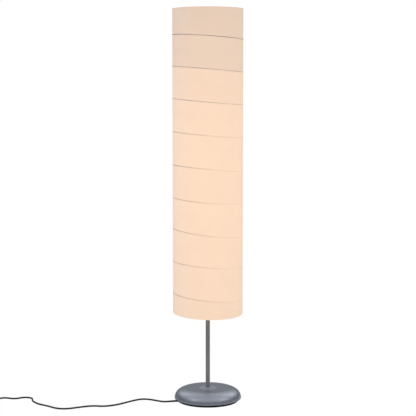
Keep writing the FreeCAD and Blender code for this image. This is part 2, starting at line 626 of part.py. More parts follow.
CX, CY, CM = num(d("coil_x")), num(d("coil_y")), num(d("coil_mid"))
lead_b0, lead_b1 = V(*outlet), V(CX + 12.0, CY - CM, 4.6)
lead_b = cylinder("lead_to_coil", d("lead_radius"), (lead_b1 - lead_b0).Length)
lead_b.Placement = FreeCAD.Placement(lead_b0, FreeCAD.Rotation(V(0, 0, 1), lead_b1 - lead_b0))
node(lead_b, "lead_to_coil")
print("lead_to_coil: length %.1f" % (lead_b1 - lead_b0).Length)
CH, CW = d("coil_half"), d("coil_high")
CMd = d("coil_mid")
turned("lead_coil", [
    (CMd - CH, 2.4), ("L", CMd - CH + 2.4, 0.0), ("L", CMd + CH - 2.4, 0.0), ("L", CMd + CH, 2.4), ("L", CMd + CH, CW - 2.4),
    ("L", CMd + CH - 2.4, CW), ("L", CMd - CH + 2.4, CW), ("L", CMd - CH, CW - 2.4), ("L", CMd - CH, 2.4),
], x=d("coil_x"), y=d("coil_y"))

# ---------------------------------------------------------------- foot switch in the lead
SH, SRd, STh = d("switch_half"), d("switch_radius"), d("switch_height")


def stadium(half, radius):
    """Two half rounds joined by straight sides, about the origin."""
    return [
        (-1.0 * half, -1.0 * radius), ("L", half, -1.0 * radius), ("A", half + radius, 0.0, radius, 1), ("A", half, radius, radius, 1),
        ("L", -1.0 * half, radius), ("A", -1.0 * half - radius, 0.0, radius, 1), ("A", -1.0 * half, -1.0 * radius, radius, 1),
    ]


padded("switch_base", stadium(SH, SRd), 3.0, x=SX, y=SY)
cover_body = padded("switch_cover_raw", stadium(SH, SRd), STh - 3.0, x=SX, y=SY, z=3.0, keep=False)
doc.recompute()


def level_edges(feature, low=False, high=True):
    """Names of the edges that lie in the highest (and lowest) level of a feature."""
    zs = [v.Z for v in feature.Shape.Vertexes]
    ends = ([max(zs)] if high else []) + ([min(zs)] if low else [])
    return ["Edge%d" % (k + 1) for k, e in enumerate(feature.Shape.Edges)
            if any(all(abs(v.Z - z) < 1e-6 for v in e.Vertexes) for z in ends)]


cover_pad = cover_body.Tip
top_edges = level_edges(cover_pad)
edge_round = cover_body.newObject("PartDesign::Fillet", "Fillet_switch")
edge_round.Base = (cover_pad, top_edges)
edge_round.Radius = 4.0
cover_body.Tip = edge_round
necks = [cylinder("Neck_%d" % k, 3.9, 9.0, x=SX + s * (num(SH) + num(SRd) - 3.0), y=SY, z=NZ,
                  rot=FreeCAD.Rotation(V(0, 0, 1), V(s, 0, 0))) for k, s in enumerate((1.0, -1.0))]
hollow = padded("switch_hollow", stadium(SH, SRd - 2.2), STh - 2.2 - 3.0 + 1.0, x=SX, y=SY, z=2.0, keep=False)
hole = cylinder("Button_hole", d("button_radius") + d("button_gap"), 12.0, x=SX, y=SY, z=STh - 8.0)
node(cut("Cut_switch_cover", fuse("Switch_outer", cover_body, *necks), fuse("Switch_space", hollow, hole)), "switch_cover")
BU = d("button_radius")
flange_top = STh - 2.2 - 0.3
turned("switch_button", [
    (0.0, flange_top - 2.0), ("L", BU + 2.4, flange_top - 2.0), ("L", BU + 2.4, flange_top), ("L", BU, flange_top),
    ("L", BU, STh + 2.0), ("A", BU - 1.6, STh + 3.4, 2.0, 1), ("A", 0.0, STh + 4.2, 68.0, 1), ("L", 0.0, flange_top - 2.0),
], x=SX, y=SY)
# Return spring under the button.
helix = doc.addObject("Part::Helix", "Spring_path")
helix.Pitch = 2.3
helix.Height = 9.6
helix.Radius = 5.0
put(helix, SX, SY, 4.0)
spring_section = doc.addObject("Part::Circle", "Spring_section")
spring_section.Radius = 0.45
spring_section.Placement = FreeCAD.Placement(V(num(SX) + 5.0, num(SY), 4.0), FreeCAD.Rotation(V(0, 0, 1), V(0, 1, 0.073)))
spring = doc.addObject("Part::Sweep", "Spring_sweep")
spring.Sections = [spring_section]
spring.Solid = True
spring.Frenet = True
doc.recompute()
spring.Spine = (helix, ["Edge%d" % (k + 1) for k in range(len(helix.Shape.Edges))])
node(spring, "switch_spring")

# ---------------------------------------------------------------- plug
# Flat two-pin plug lying on the floor beyond the coil; its moulded tail starts at the coil.
PT = d("plug_thick")
px, py, pz = CX + 42.0, CY + num(d("coil_mid")) + 1.0, 6.8
plug_turn = FreeCAD.Rotation(V(0, 0, 1), 0.0)
plug_block = padded("plug_block", [
    (14.0, -6.5), ("L", 24.0, -13.0), ("L", 46.0, -13.0), ("L", 49.0, -11.0), ("L", 49.0, 11.0), ("L", 46.0, 13.0),
    ("L", 24.0, 13.0), ("L", 14.0, 6.5), ("L", 14.0, -6.5),
], PT, x=px, y=py, z=pz - 6.8, rot=plug_turn, keep=False)
doc.recompute()
plug_pad = plug_block.Tip
up = level_edges(plug_pad, low=True)
plug_round = plug_block.newObject("PartDesign::Fillet", "Fillet_plug")
plug_round.Base = (plug_pad, up)
plug_round.Radius = 2.4
plug_block.Tip = plug_round
tail = turned("plug_tail", [
    (0.0, 0.0), ("L", 3.0, 0.0), ("L", 4.6, 15.0), ("L", 4.6, 20.0), ("L", 0.0, 20.0), ("L", 0.0, 0.0),
], x=px, y=py, z=pz, rot=FreeCAD.Rotation(V(0, 0, 1), V(1, 0, 0)), keep=False)
node(fuse("Fuse_plug_body", plug_block, tail), "plug_body")
half_pin = num(d("pin_spread")) / 2
pins = doc.addObject("Part::Compound", "Compound_plug_pins")
pins.Links = [cylinder("Pin_%d" % k, d("pin_radius"), d("pin_long"), x=px + 49.0, y=py + s * half_pin, z=pz,
                       rot=FreeCAD.Rotation(V(0, 0, 1), V(1, 0, 0))) for k, s in enumerate((-1.0, 1.0))]
node(pins, "plug_pins")

# Short end of the lead between the coil and the plug.
lead_c0, lead_c1 = V(CX + 14.0, CY + CM, 6.4), V(px, py, pz)
lead_c = cylinder("lead_to_plug", d("lead_radius"), (lead_c1 - lead_c0).Length)
lead_c.Placement = FreeCAD.Placement(lead_c0, FreeCAD.Rotation(V(0, 0, 1), lead_c1 - lead_c0))
node(lead_c, "lead_to_plug")
print("lead_to_plug: length %.1f" % (lead_c1 - lead_c0).Length)

# ---------------------------------------------------------------- checks and files
doc.recompute()
for o in doc.Objects:
    if "Invalid" in o.State or "Error" in o.State:
        raise RuntimeError("object %s (%s) failed: %s" % (o.Name, o.Label, o.State))
labels = [o.Label for o in NODES]
if len(set(labels)) != len(labels) or len(labels) > 60:
    raise RuntimeError("node names repeat or are too many: %d" % len(labels))
for o in NODES:
    if o.Shape.isNull() or not o.Shape.isValid() or not o.Shape.Solids:
        raise RuntimeError("node %s has no valid shape" % o.Label)
for label, (length, volume, obj) in LENGTHS.items():
    if abs(obj.Shape.Volume - volume) > 0.01 * volume:
        raise RuntimeError("%s: volume %.1f, section times length %.1f" % (label, obj.Shape.Volume, volume))
os.makedirs("parts", exist_ok=True)
for old in os.listdir("parts"):
    if old.endswith(".step") and old[:-5] not in labels:
        os.remove(os.path.join("parts", old))
for o in NODES:
    o.Shape.exportStep("parts/%s.step" % o.Label)
print("%d nodes written" % len(NODES))
for o in NODES:
    b = o.Shape.BoundBox
    print("%-20s solids %d  volume %9.1f  x %.1f..%.1f  y %.1f..%.1f  z %.1f..%.1f" % (
        o.Label, len(o.Shape.Solids), o.Shape.Volume, b.XMin, b.XMax, b.YMin, b.YMax, b.ZMin, b.ZMax))
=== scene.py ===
import math

import bpy
import numpy as np
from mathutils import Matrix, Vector, noise


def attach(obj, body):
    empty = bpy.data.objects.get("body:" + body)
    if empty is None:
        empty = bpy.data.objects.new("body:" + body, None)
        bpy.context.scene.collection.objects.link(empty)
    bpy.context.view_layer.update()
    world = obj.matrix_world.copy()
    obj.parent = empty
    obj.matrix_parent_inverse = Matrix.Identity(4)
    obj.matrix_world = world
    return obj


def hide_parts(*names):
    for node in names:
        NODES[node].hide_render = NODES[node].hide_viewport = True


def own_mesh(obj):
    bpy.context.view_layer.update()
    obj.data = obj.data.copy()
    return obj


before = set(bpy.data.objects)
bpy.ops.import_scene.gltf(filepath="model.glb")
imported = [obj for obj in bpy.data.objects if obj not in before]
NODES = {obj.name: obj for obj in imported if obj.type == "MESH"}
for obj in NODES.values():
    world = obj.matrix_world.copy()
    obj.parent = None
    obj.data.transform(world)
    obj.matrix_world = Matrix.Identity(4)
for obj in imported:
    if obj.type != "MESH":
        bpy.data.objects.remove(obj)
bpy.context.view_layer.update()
scene = bpy.context.scene

# ---------------------------------------------------------------- camera
cam_data = bpy.data.cameras.new("camera")
cam_data.sensor_fit = "HORIZONTAL"
cam_data.sensor_width = 36.0
cam_data.lens = 104.71
cam_data.clip_start, cam_data.clip_end = 0.05, 200.0
camera = bpy.data.objects.new("camera", cam_data)
scene.collection.objects.link(camera)
camera.location = (0.0006, -3.6, 0.933)
camera.rotation_euler = (math.radians(90.0 - 5.52), 0.0, 0.0)
scene.camera = camera

scene.view_settings.view_transform = "Standard"
scene.view_settings.look = "None"
scene.view_settings.exposure = 0.0
scene.view_settings.gamma = 1.0


# ---------------------------------------------------------------- node helpers
class Mat:
    """A node material with a Principled shader and short calls for the nodes that feed it."""

    def __init__(self, name):
        self.m = bpy.data.materials.new(name)
        self.m.use_nodes = True
        self.nt = self.m.node_tree
        self.nt.nodes.clear()
        self.out = self.nt.nodes.new("ShaderNodeOutputMaterial")
        self.p = self.nt.nodes.new("ShaderNodeBsdfPrincipled")
        self.nt.links.new(self.p.outputs["BSDF"], self.out.inputs["Surface"])

    def set(self, **values):
        for key, value in values.items():
            self.p.inputs[key.replace("_", " ")].default_value = value
        return self

    def link(self, a, b):
        self.nt.links.new(a, b)

    def feed(self, socket, value):
        if isinstance(value, bpy.types.NodeSocket):
            self.link(value, socket)
        else:
            socket.default_value = value

    def coords(self, scale=(1, 1, 1), kind="Object"):
        tc = self.nt.nodes.new("ShaderNodeTexCoord")
        return self.mapped(tc.outputs[kind], scale)

    def attribute(self, name, output="Fac"):
        a = self.nt.nodes.new("ShaderNodeAttribute")
        a.attribute_name = name
        return a.outputs[output]

    def mapped(self, vector, scale=(1, 1, 1), rotation=(0, 0, 0)):
        mp = self.nt.nodes.new("ShaderNodeMapping")
        mp.inputs["Scale"].default_value = scale
        mp.inputs["Rotation"].default_value = rotation
        self.link(vector, mp.inputs["Vector"])
        return mp.outputs["Vector"]

    def noise(self, vector, scale, detail=3.0, rough=0.5, distortion=0.0):
        n = self.nt.nodes.new("ShaderNodeTexNoise")
        n.inputs["Scale"].default_value = scale
        n.inputs["Detail"].default_value = detail
        n.inputs["Roughness"].default_value = rough
        n.inputs["Distortion"].default_value = distortion
        self.link(vector, n.inputs["Vector"])
        return n.outputs["Fac"]

    def voronoi(self, vector, scale, feature="F1"):
        n = self.nt.nodes.new("ShaderNodeTexVoronoi")
        n.feature = feature
        n.inputs["Scale"].default_value = scale
        self.link(vector, n.inputs["Vector"])
        return n.outputs["Distance"]

    def wave(self, vector, scale, distortion=0.0, detail=2.0, detail_scale=1.0, direction="Z"):
        n = self.nt.nodes.new("ShaderNodeTexWave")
        n.wave_type = "BANDS"
        n.bands_direction = direction
        n.inputs["Scale"].default_value = scale
        n.inputs["Distortion"].default_value = distortion
        n.inputs["Detail"].default_value = detail
        n.inputs["Detail Scale"].default_value = detail_scale
        self.link(vector, n.inputs["Vector"])
        return n.outputs["Fac"]

    def math(self, op, a, b=0.0, c=0.0, clamp=False):
        n = self.nt.nodes.new("ShaderNodeMath")
        n.operation = op
        n.use_clamp = clamp
        self.feed(n.inputs[0], a)
        self.feed(n.inputs[1], b)
        if len(n.inputs) > 2:
            self.feed(n.inputs[2], c)
        return n.outputs[0]

    def ranged(self, value, a, b, c, d, smooth=False):
        n = self.nt.nodes.new("ShaderNodeMapRange")
        n.interpolation_type = "SMOOTHSTEP" if smooth else "LINEAR"
        n.clamp = True
        self.feed(n.inputs["Value"], value)
        for key, x in (("From Min", a), ("From Max", b), ("To Min", c), ("To Max", d)):
            n.inputs[key].default_value = x
        return n.outputs["Result"]

    def curve(self, value, points):
        n = self.nt.nodes.new("ShaderNodeFloatCurve")
        c = n.mapping.curves[0]
        for i, (x, y) in enumerate(points):
            if i < 2:
                c.points[i].location = (x, y)
            else:
                c.points.new(x, y)
        for pt in c.points:
            pt.handle_type = "VECTOR"
        n.mapping.update()
        self.feed(n.inputs["Value"], value)
        return n.outputs["Value"]

    def mix(self, factor, a, b, kind="MIX"):
        n = self.nt.nodes.new("ShaderNodeMix")
        n.data_type = "RGBA"
        n.blend_type = kind
        self.feed(n.inputs["Factor"], factor)
        self.feed(n.inputs["A"] if False else n.inputs[6], a)
        self.feed(n.inputs[7], b)
        return n.outputs[2]

    def xyz(self, vector):
        n = self.nt.nodes.new("ShaderNodeSeparateXYZ")
        self.link(vector, n.inputs[0])
        return n.outputs

    def bump(self, height, strength=0.3, distance=0.001, normal=None):
        n = self.nt.nodes.new("ShaderNodeBump")
        n.inputs["Strength"].default_value = strength
        n.inputs["Distance"].default_value = distance
        self.link(height, n.inputs["Height"])
        if normal is not None:
            self.link(normal, n.inputs["Normal"])
        return n.outputs["Normal"]


def lin(r, g, b):
    """sRGB 0..255 to linear."""
    def f(v):
        v /= 255.0
        return v / 12.92 if v <= 0.04045 else ((v + 0.055) / 1.055) ** 2.4
    return (f(r), f(g), f(b), 1.0)


def shade_smooth(o, angle=40.0):
    me = o.data
    me.polygons.foreach_set("use_smooth", [True] * len(me.polygons))
    me.set_sharp_from_angle(angle=math.radians(angle))


def give(o, mat):
    o.data.materials.clear()
    o.data.materials.append(mat.m if isinstance(mat, Mat) else mat)


def add_mesh(name, verts, faces):
    me = bpy.data.meshes.new(name)
    me.from_pydata([tuple(v) for v in verts], [], [tuple(f) for f in faces])
    me.update()
    o = bpy.data.objects.new(name, me)
    scene.collection.objects.link(o)
    return o


# ---------------------------------------------------------------- cords
# The same route as the solids', in metres.
LEAD_AZ = math.radians(195.0)
UX, UY = math.cos(LEAD_AZ), math.sin(LEAD_AZ)
MM = 0.001
CORD_D = 0.0052
ROUTE_A = [
    (UX * 104.0, UY * 104.0, 3.4),
    (UX * 116.0, UY * 116.0, 3.4),
    (-132.0, -33.5, 2.75),
    (-152.5, -21.0, 2.65),
    (-174.5, -5.0, 2.65),
    (-197.0, 1.0, 2.65),
    (-216.5, -10.5, 2.65),
    (-242.0, -37.0, 2.65),
    (-271.5, -69.0, 2.65),
    (-309.0, -87.0, 2.65),
    (-339.5, -78.5, 2.65),
    (-374.0, -92.0, 2.65),
    (-412.5, -114.5, 2.65),
    (-444.0, -111.5, 2.65),
    (-476.0, -80.5, 2.65),
    (-505.0, -60.5, 2.65),
    (-530.0, -24.5, 2.65),
    (-532.5, 11.0, 2.65),
    (-559.5, 23.0, 2.65),
    (-587.0, 0.5, 2.65),
    (-619.0, 18.0, 2.65),
    (-644.0, -1.0, 2.75),
    (-660.0, -14.5, 4.6),
    (-679.0, -18.0, 7.0),
]
COIL_C = (-806.0, 11.0)
R1, R2, R3 = 34.4, 29.0, 23.6


def smooth01(t):
    t = max(0.0, min(1.0, t))
    return t * t * (3 - 2 * t)


def coil_turns():
    """Five and a half turns, clockwise from above: three side by side on the floor, winding inwards,
    then back outwards on top of them. Each turn steps over to the next in its last 65 degrees."""
    pts = []
    step = 20.0
    k = 1
    while k * step < 1980.0 + 1e-6:
        phi = k * step
        turn, part = divmod(phi, 360.0)
        s = smooth01((part - 292.5) / 67.5)
        radii = [R1, R2, R3, R3, R2, R1, R1]
        r = radii[int(turn)] + (radii[int(turn) + 1] - radii[int(turn)]) * s
        upper = 0.0 if turn < 2 else (s if turn == 2 else 1.0)
        if turn == 2:
            r -= 2.3 * math.sin(math.pi * max(0.0, (part - 292.5) / 67.5))
        a = math.radians(-90.0 - phi)
        lift = 1.0 * math.exp(-(((part - 90.0) / 32.0) ** 2))  # the tie goes under the turns there
        n = noise.noise(Vector((k * 0.37, turn * 1.7, 4.2)))
        r += 0.35 * n
        z = 2.7 + 5.25 * upper + lift
        r *= 1.0 / 0.9849  # the spline runs a little inside its points
        pts.append((COIL_C[0] + r * math.cos(a), COIL_C[1] + r * math.sin(a), z))
        k += 1
    return pts


ROUTE_B = [
    (-767.0, -18.0, 7.0),
    (-774.0, -18.6, 6.6),
    (-783.0, -20.6, 5.4),
    (-794.0, -23.6, 3.9),
] + coil_turns() + [
    (-796.0, 45.2, 7.9),
    (-785.0, 43.4, 7.5),
    (-774.0, 41.6, 7.0),
    (-762.0, 41.0, 6.8),
]


def cord_curve(name, route, diameter):
    cu = bpy.data.curves.new(name, "CURVE")
    cu.dimensions = "3D"
    sp = cu.splines.new("NURBS")
    sp.points.add(len(route) - 1)
    for p, q in zip(sp.points, route):
        p.co = (q[0] * MM, q[1] * MM, q[2] * MM, 1.0)
    sp.order_u = 3
    sp.use_endpoint_u = True
    sp.resolution_u = 10
    cu.bevel_depth = diameter / 2
    cu.bevel_resolution = 6
    cu.use_fill_caps = True
    o = bpy.data.objects.new(name, cu)
    scene.collection.objects.link(o)
    return o


def line_length(o):
    bare = bpy.data.objects.new("bare_tmp", o.data.copy())
    bare.data.bevel_depth = 0
    me = bpy.data.meshes.new_from_object(bare)
    line = np.array([v.co for v in me.vertices])
    bpy.data.meshes.remove(me)
    bpy.data.curves.remove(bare.data)
    return float(np.linalg.norm(np.diff(line, axis=0), axis=1).sum())


sheath = Mat("cord_sheath")
sheath.set(Roughness=0.42, Specular_IOR_Level=0.45)
v = sheath.coords()
sheath.link(sheath.mix(sheath.noise(v, 160.0, 3.0), (0.010, 0.010, 0.011, 1), (0.020, 0.020, 0.021, 1)), sheath.p.inputs["Base Color"])
sheath.link(sheath.ranged(sheath.noise(v, 700.0, 2.0), 0.3, 0.7, 0.36, 0.50), sheath.p.inputs["Roughness"])
sheath.link(sheath.bump(sheath.noise(v, 1600.0, 3.0), 0.25, 0.0002), sheath.p.inputs["Normal"])

cord_a = cord_curve("lead_base_to_switch", ROUTE_A, CORD_D)
cord_b = cord_curve("lead_switch_to_plug", ROUTE_B, CORD_D)
for c, replaced in ((cord_a, ("lead_to_switch",)), (cord_b, ("lead_to_coil", "lead_coil", "lead_to_plug"))):
    give(c, sheath)
    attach(c, "root")
    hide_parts(*replaced)

# Tie round the wound-up lead: a soft closed strap.
def strap(name, centre, half_w, half_h, z_mid, width, thick):
    """A closed strap with rounded corners round the bundle's section, across -X."""
    outline = []
    rc = 3.4
    for cx, cz, a0 in ((half_w - rc, half_h - rc, 0), (-(half_w - rc), half_h - rc, 90), (-(half_w - rc), -(half_h - rc), 180), (half_w - rc, -(half_h - rc), 270)):
        for k in range(9):
            a = math.radians(a0 + k * 90.0 / 8)
            outline.append((cx + rc * math.cos(a), cz + rc * math.sin(a), math.cos(a), math.sin(a)))
    n = len(outline)
    sections = 9
    verts, faces = [], []
    for j in range(sections):
        t = j / (sections - 1) * 2 - 1
        y = t * width / 2
        crown = thick * (0.72 + 0.28 * math.sqrt(max(0.0, 1 - t * t)))
        for side in (0, 1):
            for (x, z, nx, nz) in outline:
                off = crown if side else 0.0
                wob = 0.06 * math.sin(3.1 * x + 1.7 * z + 2.3 * t)
                verts.append(((centre[0] + x + nx * (off + wob)) * MM, (centre[1] + y) * MM, (z_mid + z + nz * off) * MM))
    for j in range(sections - 1):
        for side in (0, 1):
            for i in range(n):
                a = (j * 2 + side) * n + i
                b = (j * 2 + side) * n + (i + 1) % n
                c, d_ = a + 2 * n, b + 2 * n
                faces.append((a, b, d_, c) if side else (a, c, d_, b))
    for j, flip in ((0, False), (sections - 1, True)):
        for i in range(n):
            a, b = (j * 2) * n + i, (j * 2) * n + (i + 1) % n
            c, d_ = a + n, b + n
            faces.append((a, b, d_, c) if not flip else (a, c, d_, b))
    return add_mesh(name, verts, faces)


tie = strap("lead_tie", (COIL_C[0] - R2 - 0.1, COIL_C[1]), 8.35, 5.35, 2.7 + 1.0 + 2.6, 8.0, 0.85)
shade_smooth(tie, 50)
tie_mat = Mat("tie_fabric")
tie_mat.set(Roughness=0.85, Specular_IOR_Level=0.2, Sheen_Weight=0.25)
v = tie_mat.coords()
weave = tie_mat.math("MULTIPLY", tie_mat.wave(v, 260.0, 0.6, direction="X"), tie_mat.wave(v, 260.0, 0.6, direction="Y"))
tie_mat.link(tie_mat.mix(weave, (0.012, 0.012, 0.013, 1), (0.045, 0.045, 0.047, 1)), tie_mat.p.inputs["Base Color"])
tie_mat.link(tie_mat.bump(weave, 0.7, 0.0004), tie_mat.p.inputs["Normal"])
give(tie, tie_mat)
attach(tie, "root")

LEN_A, LEN_B = line_length(cord_a), line_length(cord_b)
print("cord lengths", round(LEN_A, 4), round(LEN_B, 4))

# ---------------------------------------------------------------- paper shade
# Seams at the hoops: height of the middle, rise on the right side, rise at the front (mm).
TOP_Z, R_PAPER = 1174.0, 105.0
SEAMS = [
    (1090.8, -6.9, 0.9), (997.4, -8.5, -0.4), (902.6, -9.1, -1.2), (805.7, -9.0, -1.0), (706.3, -9.5, 1.3),
    (610.8, -8.2, -1.7), (515.4, -12.0, -2.6), (419.4, -8.8, 0.2), (324.3, -9.8, -3.6),
]
LEVELS = [(TOP_Z, 0.0, 0.0)] + SEAMS + [(270.3, -2.0, -5.0)]
N_ANG = 288
PAPER_T = 0.32


def level_z(level, a):
    z0, side, front = LEVELS[level]
    return z0 + side * math.cos(a) - front * math.sin(a)


def near_rows(h):
    """Distances from the band's upper edge, close together at both edges."""
    near = [0.0, 0.5, 1.0, 1.5, 2.1, 2.9, 4.0, 5.5, 7.5, 10.0, 13.5, 18.0, 23.5, 30.0, 37.5]
    half = [x for x in near if x < h / 2 - 3.0]
    return half + [h / 2] + [h - x for x in reversed(half)]


def paper_radius(a, z, d_up, d_low, band):
    """Outer radius of the paper at an angle and height: a low ridge over each hoop, faint slack between
    hoops and small puckers where it is glued."""
    d = min(d_up, d_low)
    ridge = 0.34 * math.exp(-((d / 1.5) ** 2))
    u = a * 105.0
    slack = noise.noise(Vector((math.cos(a) * 1.9, math.sin(a) * 1.9, z * 0.016)))
    pucker = noise.noise(Vector((math.cos(a) * 17.0, math.sin(a) * 17.0, z * 0.05 + band * 3.1)))
    fine = noise.noise(Vector((math.cos(a) * 7.0, math.sin(a) * 7.0, z * 0.06)))
    r = R_PAPER - 0.30 + ridge
    r += 0.10 * slack + 0.05 * fine
    r += 0.16 * pucker * math.exp(-d / 7.0) * (1.0 - math.exp(-d / 0.9))
    if band == 0 and d_up < 6.0 or band == 9 and d_low < 6.0:
        edge = d_up if band == 0 else d_low
        r += 0.22 * math.exp(-((edge / 2.2) ** 2))  # hem, folded over the ring
    return r


angles = [math.radians(90.0) + 2 * math.pi * (i + 0.5) / N_ANG for i in range(N_ANG)]
rows = []  # (band, share down the band)
for band in range(10):
    h = LEVELS[band][0] - LEVELS[band + 1][0]
    steps = near_rows(h)
    for s in steps[:-1] if band < 9 else steps:
        rows.append((band, s / h))
outer, seam_mm, band_at = [], [], []
for band, t in rows:
    h = LEVELS[band][0] - LEVELS[band + 1][0]
    for a in angles:
        zt, zb = level_z(band, a), level_z(band + 1, a)
        z = zt + (zb - zt) * t
        d_up, d_low = (zt - z), (z - zb)
        r = paper_radius(a, z, d_up, d_low, band)
        outer.append((r * math.cos(a) * MM, r * math.sin(a) * MM, z * MM))
        # signed distance to the nearer hoop: above it is positive; the rims count as far away
        up = -d_up if band > 0 else -99.0
        low = d_low if band < 9 else 99.0
        seam_mm.append(up if abs(up) < abs(low) else low)
        band_at.append(band + t)
n_rows = len(rows)
inner_rows = [i for i, (b, t) in enumerate(rows) if i in (0, n_rows - 1) or i % 3 == 0]
inner, in_seam, in_band = [], [], []
for i in inner_rows:
    for j, a in enumerate(angles):
        x, y, z = outer[i * N_ANG + j]
        r = math.hypot(x, y)
        k = (r - PAPER_T * MM) / r
        inner.append((x * k, y * k, z))
        in_seam.append(seam_mm[i * N_ANG + j])
        in_band.append(band_at[i * N_ANG + j])
verts = outer + inner
faces = []
for i in range(n_rows - 1):
    for j in range(N_ANG):
        a, b = i * N_ANG + j, i * N_ANG + (j + 1) % N_ANG
        faces.append((a, a + N_ANG, b + N_ANG, b))
base = len(outer)
for i in range(len(inner_rows) - 1):
    for j in range(N_ANG):
        a, b = base + i * N_ANG + j, base + i * N_ANG + (j + 1) % N_ANG
        faces.append((a, b, b + N_ANG, a + N_ANG))
n_out_faces = (n_rows - 1) * N_ANG
for j in range(N_ANG):
    a, b = j, (j + 1) % N_ANG
    faces.append((a, b, base + b, base + a))
    a, b = (n_rows - 1) * N_ANG + j, (n_rows - 1) * N_ANG + (j + 1) % N_ANG
    c, e = base + (len(inner_rows) - 1) * N_ANG + j, base + (len(inner_rows) - 1) * N_ANG + (j + 1) % N_ANG
    faces.append((a, c, e, b))
paper = add_mesh("paper_shade", verts, faces)
me = paper.data
me.polygons.foreach_set("use_smooth", [True] * len(me.polygons))
at = me.attributes.new("rest_place", "FLOAT_VECTOR", "POINT")
at.data.foreach_set("vector", np.array(verts, np.float32).ravel())
at = me.attributes.new("seam_mm", "FLOAT", "POINT")
at.data.foreach_set("value", np.array(seam_mm + in_seam, np.float32))
at = me.attributes.new("band_at", "FLOAT", "POINT")
at.data.foreach_set("value", np.array(band_at + in_band, np.float32))
uv = me.uv_layers.new(name="UVMap")
loops = np.zeros(len(me.loops), np.int32)
me.loops.foreach_get("vertex_index", loops)
co = np.array(verts)
ang = np.mod(np.arctan2(co[:, 1], co[:, 0]) - math.radians(90.0), 2 * math.pi)
uvs = np.stack([ang[loops] / (2 * math.pi), (co[loops, 2] - 0.26) / 0.92], axis=1)
# the last column of faces closes the round
starts = np.zeros(len(me.polygons), np.int32)
me.polygons.foreach_get("loop_start", starts)
totals = np.zeros(len(me.polygons), np.int32)
me.polygons.foreach_get("loop_total", totals)
for s, n in zip(starts, totals):
    u = uvs[s:s + n, 0]
    if u.max() - u.min() > 0.5:
        u[u < 0.5] += 1.0
uv.data.foreach_set("uv", uvs.astype(np.float32).ravel())

# Colour of the painted glow that stands in for the bulb's light through the paper: cooler towards the left side, a
# shade cooler at the right.
GLOW = (0.632, 0.377, 0.200)
GLOW_LEFT = (0.605, 0.379, 0.230)
GLOW_RIGHT = (0.622, 0.380, 0.206)


